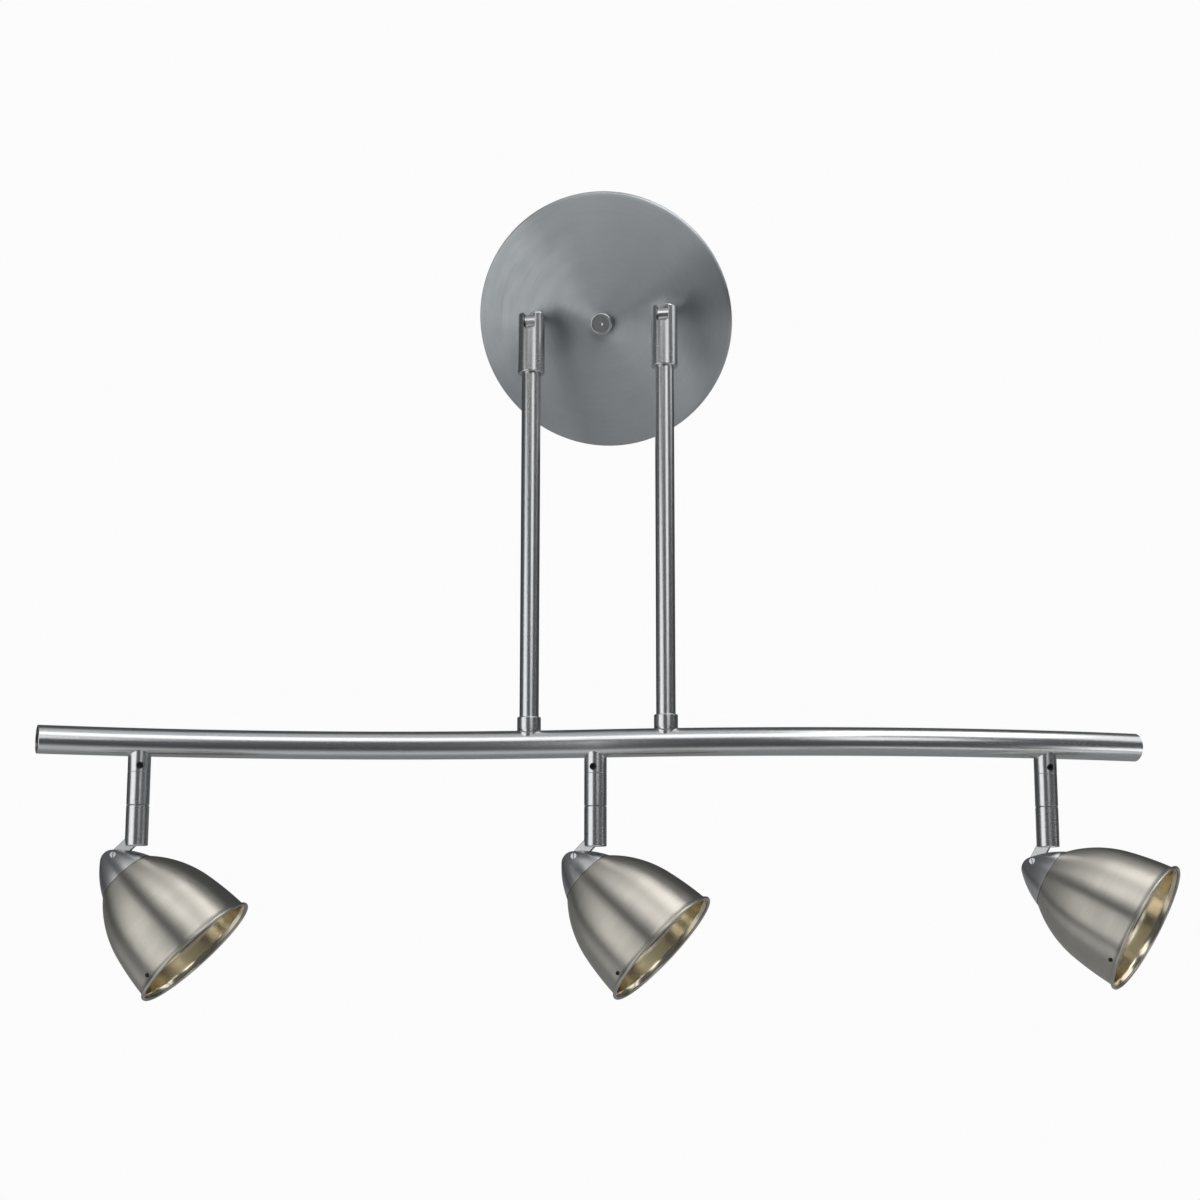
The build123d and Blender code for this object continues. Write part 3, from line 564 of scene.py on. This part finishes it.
FINISHES = (
    TurnedMetal(
        "spun_canopy_steel", (0.56, 0.59, 0.61), (0.48, 0.51, 0.53), 0.48,
        around=1.2, along=1500.0, bands=90.0, anisotropy=0.85,
    ),
    TurnedMetal(
        "drawn_tube_steel", (0.60, 0.61, 0.615), (0.54, 0.55, 0.555), 0.26, 0.03,
        around=30.0, along=30.0, bands=10.0,
    ),
    TurnedMetal(
        "turned_steel", (0.60, 0.61, 0.615), (0.54, 0.55, 0.555), 0.26, 0.03,
        around=1.0, along=1600.0, bands=300.0,
    ),
    TurnedMetal(
        "cup_steel", (0.70, 0.71, 0.715), (0.63, 0.64, 0.645), 0.30, 0.03,
        around=1.5, along=1600.0, bands=300.0, anisotropy=0.5,
    ),
    TurnedMetal(
        "satin_nickel", (0.57, 0.545, 0.49), (0.50, 0.478, 0.43), 0.40, 0.05,
        around=1.3, along=1600.0, bands=150.0, anisotropy=0.85,
    ),
    TurnedMetal(
        "champagne_lining", (0.86, 0.78, 0.60), (0.76, 0.68, 0.51), 0.18,
        around=3.0, along=900.0, bands=160.0,
    ),
    PlainStuff("zinc_plate", (0.56, 0.57, 0.59), (0.44, 0.45, 0.48), 0.3, metallic=1.0),
    PlainStuff("strap_steel", (0.50, 0.51, 0.52), (0.42, 0.43, 0.44), 0.26, metallic=1.0),
    PlainStuff("black_oxide", (0.045, 0.045, 0.05), (0.015, 0.015, 0.018), 0.42, metallic=0.6),
    PlainStuff("black_plastic", (0.035, 0.035, 0.04), (0.02, 0.02, 0.022), 0.5),
    PlainStuff("ground_green", (0.04, 0.36, 0.12), (0.02, 0.24, 0.08), 0.3, metallic=0.6),
    PlainStuff("connector_orange", (0.8, 0.3, 0.05), (0.66, 0.22, 0.04), 0.35, coat=0.2),
    PlainStuff("lead_sleeving", (0.82, 0.8, 0.74), (0.7, 0.68, 0.62), 0.55, grit=900.0),
    PlainStuff("porcelain", (0.87, 0.85, 0.8), (0.78, 0.76, 0.7), 0.45, grit=1200.0),
    PlainStuff("reflector_glass", (0.9, 0.91, 0.92), (0.8, 0.81, 0.83), 0.12, metallic=1.0),
)


class Workshop:
    """Holds every finish once, by name."""

    def __init__(self) -> None:
        """Builds the shared groups and all finishes."""
        grain, grit = grain_group(), cast_group()
        self.shelf = {f.name: f.build(grain, grit) for f in FINISHES}

    def __getitem__(self, name: str) -> bpy.types.Material:
        """The material of that name."""
        return self.shelf[name]

    def dress_node(self, node: str, name: str) -> None:
        """Gives a CAD node a finish."""
        dress(frame["nodes"][node], self.shelf[name])


# ---- Sub-assemblies ----------------------------------------------------------------------


@dataclass
class Canopy:
    """Spun cover, cap nut and what they hide."""

    datum: Datum
    shop: Workshop
    radius: float = 76.0
    depth: float = 12.0
    lip: float = 4.2
    sheet: float = 1.2
    shoulder: float = 0.8           # radius of the turn from dome to rim
    hole: float = 2.8
    nut_radius: float = 6.5
    nut_height: float = 3.6
    nut_back: float = 12.02
    nut_bevel: float = 0.25
    nut_dish: float = 0.16          # how far its face is sunk

    def dome(self, inset: float) -> list[Point]:
        """The dome's face from the middle hole to the rim, sunk by inset."""
        rise = self.depth - self.lip
        bend = (self.radius**2 + rise**2) / 2 / rise

        def height(r: float) -> float:
            """Height of the dome over the wall at a radius."""
            return self.depth - r * r / 2 / bend - inset

        edge = self.radius - self.shoulder
        face = arc(
            (self.hole, height(self.hole)), (edge / 2, height(edge / 2)), (edge, height(edge)), 40
        )
        wall = self.radius - inset
        turn = arc(
            face[-1],
            (wall - self.shoulder * 0.36, height(edge) - self.shoulder * 0.52),
            (wall, height(edge) - self.shoulder * 1.5),
            8,
        )
        return face + turn[1:]

    def cover(self) -> bpy.types.Object:
        """The spun cover with its turned-down rim."""
        outer = self.dome(0.0)
        inner = self.dome(self.sheet)
        rim_out = [(self.radius, 0.35), (self.radius - 0.35, 0.0)]
        rim_in = [(self.radius - self.sheet + 0.3, 0.0), (self.radius - self.sheet, 0.3)]
        profile = outer + rim_out + rim_in + inner[::-1]
        piece = lathe("canopy_cover_spun", self.datum, profile, closed=True, segments=256)
        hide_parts("canopy_cover")
        return dress(piece, self.shop["spun_canopy_steel"])

    def cap_nut(self) -> bpy.types.Object:
        """The cap nut, its face a little sunk inside a fine raised edge, with a centre dimple."""
        back, bevel, r = self.nut_back, self.nut_bevel, self.nut_radius
        top = back + self.nut_height
        face = top - self.nut_dish
        side = [(0, back), (r - bevel, back), (r, back + bevel), (r, top - 0.75)]
        edge = arc((r, top - 0.7), (r - 0.2, top - 0.18), (r - 0.7, top), 6)
        step = [(r - 0.95, top - 0.02), (r - 1.05, top - 0.14), (r - 1.2, face), (r - 1.5, face)]
        dimple = [(1.1, face), (0.9, face), (0.75, top - 0.22), (0.45, top - 0.32), (0, top - 0.34)]
        profile = side + edge + step + dimple
        piece = lathe("cap_nut_turned", self.datum, profile, segments=96)
        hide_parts("cap_nut")
        return dress(piece, self.shop["turned_steel"])

    def build(self) -> list[bpy.types.Object]:
        """Makes the pieces, rides them on the canopy and dresses the nodes inside."""
        pieces = [self.cover(), self.cap_nut()]
        for piece in pieces:
            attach(piece, "canopy")
        for node in ("crossbar", "centre_stud", "stud_locknut", "swivel_nuts"):
            self.shop.dress_node(node, "zinc_plate")
        self.shop.dress_node("ground_screw", "ground_green")
        self.shop.dress_node("wire_connectors", "connector_orange")
        self.shop.dress_node("supply_leads", "lead_sleeving")
        for side in (Side.LEFT, Side.RIGHT):
            self.shop.dress_node(f"{side.value}_swivel_tongue", "strap_steel")
        return pieces


@dataclass
class Pendant:
    """Stems, clevises, ferrules and the serpentine bar."""

    datum: Datum
    bench: Bench
    shop: Workshop
    stem_gap: float = 79.0
    stem_radius: float = 5.5
    stem_bore: float = 4.0
    stem_top: float = -19.0
    drop: float = 249.0
    bar_radius: float = 8.0
    bar_wall: float = 1.2
    bend_radius: float = 520.0
    half_length: float = 316.0
    rings: int = 240
    facets: int = 64
    softening: float = 0.25         # the edge broken off the bar's ends
    stem_seat: float = 0.4          # how far a stem stands clear of the bar's top

    def stem(self, side: Side) -> bpy.types.Object:
        """One stem, a drawn tube with its foot inside the bar's ferrule."""
        sign = -1 if side is Side.LEFT else 1
        foot = self.bar_radius - self.drop + self.stem_seat
        r, b = self.stem_radius, self.stem_bore
        profile = [(r, foot), (r, self.stem_top), (b, self.stem_top), (b, foot)]
        axis = self.datum.shifted(x=sign * self.stem_gap / 2)
        piece = lathe(f"{side.value}_stem_drawn", axis, profile, closed=True, segments=96)
        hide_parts(f"{side.value}_stem")
        return dress(piece, self.shop["drawn_tube_steel"])

    def station(self, along: float) -> Datum:
        """Datum on the bar's centreline, z along the bar, a signed distance from its middle."""
        middle = -math.asin(self.stem_gap / 4 / self.bend_radius)
        heading = middle + abs(along) / self.bend_radius
        side = 1 if along >= 0 else -1
        x = side * self.bend_radius * (math.sin(heading) - math.sin(middle))
        y = side * self.bend_radius * (math.cos(middle) - math.cos(heading))
        base = self.datum.shifted(z=-self.drop)
        forward = base.x * math.cos(heading) + base.y * math.sin(heading)
        return Datum(base.at(x, y, 0), base.z.cross(forward), base.z, forward)

    def bar(self) -> bpy.types.Object:
        """The bar, a tube along its two bends with softened ends."""
        half, soft = self.half_length, self.softening
        places = [-half + 2 * half * i / self.rings for i in range(self.rings + 1)]
        outer, inner = self.bar_radius, self.bar_radius - self.bar_wall
        ends = (places[0], places[-1])
        outside = [(ends[0], outer - soft), (ends[0] + soft, outer)]
        outside += [(p, outer) for p in places[1:-1]]
        outside += [(ends[1] - soft, outer), (ends[1], outer - soft)]
        inside = [(ends[1], inner)] + [(p, inner) for p in places[-2:0:-1]] + [(ends[0], inner)]
        rings, along = [], []
        turns = [math.tau * k / self.facets for k in range(self.facets)]
        for place, radius in outside + inside:
            at = self.station(place)
            rings.append([at.at(radius * math.cos(a), radius * math.sin(a), 0) for a in turns])
            along.append(place * MM)
        piece = skin("serpentine_bar_bent", rings, along + [along[0]], closed=True)
        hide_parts("serpentine_bar")
        return dress(piece, self.shop["drawn_tube_steel"])

    def build(self) -> list[bpy.types.Object]:
        """Makes the pieces, rides them on the pendant and dresses the nodes between them."""
        pieces = [self.bar()]
        for side in (Side.LEFT, Side.RIGHT):
            sign = -1 if side is Side.LEFT else 1
            axis = self.datum.shifted(x=sign * self.stem_gap / 2)
            pieces.append(self.stem(side))
            for part in ("clevis", "ferrule"):
                piece = turned_copy(f"{side.value}_{part}", axis)
                pieces.append(dress(piece, self.shop["turned_steel"]))
            self.shop.dress_node(f"{side.value}_end_plug", "black_plastic")
        for side in Side:
            axis = self.bench.arm(side)
            for part in ("collar", "sleeve"):
                piece = turned_copy(f"{side.value}_{part}", axis)
                pieces.append(dress(piece, self.shop["turned_steel"]))
        for piece in pieces:
            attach(piece, "pendant")
        self.shop.dress_node("swivel_pins", "zinc_plate")
        self.shop.dress_node("swivel_nipples", "zinc_plate")
        self.shop.dress_node("set_screws", "black_oxide")
        self.shop.dress_node("pendant_leads", "lead_sleeving")
        return pieces


@dataclass
class Head:
    """Arm, link and spot of one place on the bar."""

    side: Side
    bench: Bench
    shop: Workshop
    sheet: float = 1.0
    neck: Point = (16.6, 19.3)      # radius and depth on the shade's middle surface
    shoulder: Point = (27.0, 34.0)
    waist: Point = (32.7, 50.6)
    swell: Point = (34.7, 62.9)
    skirt: Point = (35.7, 73.0)
    flare: Point = (36.13, 74.75)
    mouth: Point = (36.9, 76.1)
    bead: float = 1.0
    spigot: float = 15.6
    roll: Point = (-80.0, 205.0)    # degrees, where the bead's curl starts and ends
    bead_gap: int = 4               # points of the bell that the bead stands for

    def shade(self) -> bpy.types.Object:
        """The spun bell with a rolled bead, nickel outside and lined inside."""
        bell = arc(self.neck, self.shoulder, self.waist, 36)
        skirt = arc(self.waist, self.swell, self.skirt, 20)
        flare = arc(self.skirt, self.flare, self.mouth, 6)
        line = bell + skirt[1:] + flare[1:]
        half = self.sheet / 2
        outer = offset_line(line, -half)[:-self.bead_gap]
        inner = offset_line(line, half)[:-self.bead_gap]
        roll = sweep_round(self.mouth, self.bead, *self.roll, 22)
        flange = [(self.spigot, self.neck[1] + half), (self.spigot, self.neck[1] - half)]
        profile = flange + outer + roll + inner[::-1]
        lining_from = len(flange) + len(outer) + len(roll) - 1
        piece = lathe(
            f"{self.side.value}_shade_spun",
            self.bench.spot(self.side),
            [(r, -d) for r, d in profile],
            closed=True,
            segments=192,
            finish_of=lambda i: 1 if lining_from <= i < len(profile) - 1 else 0,
        )
        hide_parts(f"{self.side.value}_shade")
        return dress(piece, self.shop["satin_nickel"], self.shop["champagne_lining"])

    def build(self) -> list[bpy.types.Object]:
        """Makes the pieces, rides each on its body and dresses the nodes that stay."""
        name = self.side.value
        arm, spot = self.bench.arm(self.side), self.bench.spot(self.side)
        tube = turned_copy(f"{name}_arm", arm)
        cup = turned_copy(f"{name}_socket_cup", spot)
        shade = self.shade()
        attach(dress(tube, self.shop["turned_steel"]), f"{name}_swivel_arm")
        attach(dress(cup, self.shop["cup_steel"]), f"{name}_spot")
        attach(shade, f"{name}_spot")
        self.shop.dress_node(f"{name}_link", "strap_steel")
        self.shop.dress_node(f"{name}_knuckle_pin", "zinc_plate")
        self.shop.dress_node(f"{name}_tilt_screw", "zinc_plate")
        self.shop.dress_node(f"{name}_rim_screw", "black_oxide")
        self.shop.dress_node(f"{name}_shade_ring", "black_plastic")
        self.shop.dress_node(f"{name}_lampholder", "porcelain")
        self.shop.dress_node(f"{name}_lamp", "reflector_glass")
        return [tube, cup, shade]


# ---- Stage -------------------------------------------------------------------------------


@dataclass(frozen=True)
class Softbox:
    """A rectangular area light aimed at the fixture."""

    name: str
    azimuth: float                  # degrees, 0 in front of the canopy, positive to its right
    elevation: float
    distance: float
    width: float
    height: float
    power: float

    def place(self, target: Vector) -> None:
        """Adds the light."""
        a, e = math.radians(self.azimuth), math.radians(self.elevation)
        away = Vector((math.sin(a) * math.cos(e), -math.cos(a) * math.cos(e), math.sin(e)))
        data = bpy.data.lights.new(self.name, "AREA")
        data.shape = "RECTANGLE"
        data.size, data.size_y = self.width, self.height
        data.energy = self.power
        light = bpy.data.objects.new(self.name, data)
        light.location = target + away * self.distance
        light.rotation_euler = away.to_track_quat("Z", "Y").to_euler()
        light.visible_camera = False
        bpy.context.scene.collection.objects.link(light)


@dataclass
class Studio:
    """Pale floor, soft light and the camera."""

    aim: Vector = field(default_factory=lambda: Vector((-0.00597, -0.060, -0.1568)))
    azimuth: float = 11.16
    elevation: float = 15.92
    roll: float = 4.86
    distance: float = 1.1958
    lens: float = 60.575
    floor_drop: float = 0.85
    floor_size: float = 40.0
    white: float = 0.97             # how bright the floor and the surround look
    floor_grey: Colour = (0.5, 0.51, 0.52)
    mirrored: Colour = (0.92, 0.96, 1.0)
    mirrored_strength: float = 0.10
    sensor: float = 36.0
    lights: tuple[Softbox, ...] = (
        Softbox("key_left", -42.0, 10.0, 1.6, 1.3, 1.5, 8.6),
        Softbox("upper", 6.0, 66.0, 1.6, 1.4, 0.8, 6.4),
        Softbox("top", 0.0, 96.0, 1.4, 2.0, 1.2, 4.0),
        Softbox("fill_right", 42.0, 34.0, 1.7, 0.75, 0.6, 2.1),
        Softbox("upper_right", 104.0, 58.0, 1.5, 1.1, 0.9, 5.8),
        Softbox("back_right", 116.0, 34.0, 1.6, 1.1, 1.3, 5.2),
        Softbox("side_right", 74.0, -12.0, 1.6, 0.9, 0.4, 2.2),
        Softbox("low_right", 48.0, -36.0, 1.3, 1.0, 0.45, 1.8),
        Softbox("bounce", -32.0, -54.0, 0.85, 1.6, 0.6, 1.1),
    )

    def camera(self) -> None:
        """Adds the camera, rolled a little about its line of sight."""
        a, e, r = (math.radians(v) for v in (self.azimuth, self.elevation, self.roll))
        away = Vector((math.sin(a) * math.cos(e), -math.cos(a) * math.cos(e), math.sin(e)))
        level = Vector((math.cos(a), math.sin(a), 0))
        rise = away.cross(level)
        right = level * math.cos(r) - rise * math.sin(r)
        up = away.cross(right)
        data = bpy.data.cameras.new("camera")
        data.lens = self.lens
        data.sensor_width = self.sensor
        camera = bpy.data.objects.new("camera", data)
        turn = Matrix((right, up, away)).transposed().to_4x4()
        camera.matrix_world = Matrix.Translation(self.aim + away * self.distance) @ turn
        bpy.context.scene.collection.objects.link(camera)
        bpy.context.scene.camera = camera

    def floor(self) -> None:
        """Adds the pale floor, seen as one even white and mirrored as a soft grey."""
        mesh = bpy.data.meshes.new("floor")
        h, z = self.floor_size / 2, -self.floor_drop
        mesh.from_pydata([(-h, -h, z), (h, -h, z), (h, h, z), (-h, h, z)], [], [(0, 1, 2, 3)])
        floor = bpy.data.objects.new("floor", mesh)
        bpy.context.scene.collection.objects.link(floor)
        material = bpy.data.materials.new("pale_floor")
        material.use_nodes = True
        w = Wiring(material.node_tree)
        nodes = material.node_tree.nodes
        w.set(nodes["Principled BSDF"], Base_Color=(*self.floor_grey, 1), Roughness=0.9)
        path = w.add("ShaderNodeLightPath")
        seen = w.add("ShaderNodeEmission")
        w.set(seen, Color=(1, 1, 1, 1), Strength=self.white)
        mix = w.add("ShaderNodeMixShader")
        w.join(path.outputs["Is Camera Ray"], mix.inputs[0])
        w.join(nodes["Principled BSDF"].outputs[0], mix.inputs[1])
        w.join(seen.outputs[0], mix.inputs[2])
        w.join(mix.outputs[0], nodes["Material Output"].inputs["Surface"])
        dress(floor, material)

    def world(self) -> None:
        """Adds a surround that is seen white and mirrored grey."""
        world = bpy.data.worlds.new("surround")
        world.use_nodes = True
        bpy.context.scene.world = world
        w = Wiring(world.node_tree)
        back = world.node_tree.nodes["Background"]
        w.set(back, Color=(*self.mirrored, 1), Strength=self.mirrored_strength)
        seen = w.add("ShaderNodeBackground")
        w.set(seen, Color=(1, 1, 1, 1), Strength=self.white)
        mix = w.add("ShaderNodeMixShader")
        path = w.add("ShaderNodeLightPath")
        w.join(path.outputs["Is Camera Ray"], mix.inputs[0])
        w.join(back.outputs[0], mix.inputs[1])
        w.join(seen.outputs[0], mix.inputs[2])
        w.join(mix.outputs[0], world.node_tree.nodes["World Output"].inputs["Surface"])

    def build(self) -> None:
        """Sets the whole stage."""
        self.camera()
        self.floor()
        self.world()
        for light in self.lights:
            light.place(self.aim)
        bpy.context.scene.view_settings.view_transform = "Standard"


def main() -> None:
    """Builds the sub-assemblies in order and reports each piece."""
    logging.basicConfig(level=logging.INFO, format="%(name)s: %(message)s")
    bench = Bench({j["name"]: j for j in frame["joints"]})
    shop = Workshop()
    built = Canopy(bench.canopy(), shop).build()
    built += Pendant(bench.pendant(), bench, shop).build()
    for side in Side:
        built += Head(side, bench, shop).build()
    for piece in built:
        LOG.info("%s: %d faces", piece.name, len(piece.data.polygons))
    Studio().build()


if __name__ == "__main__":
    main()
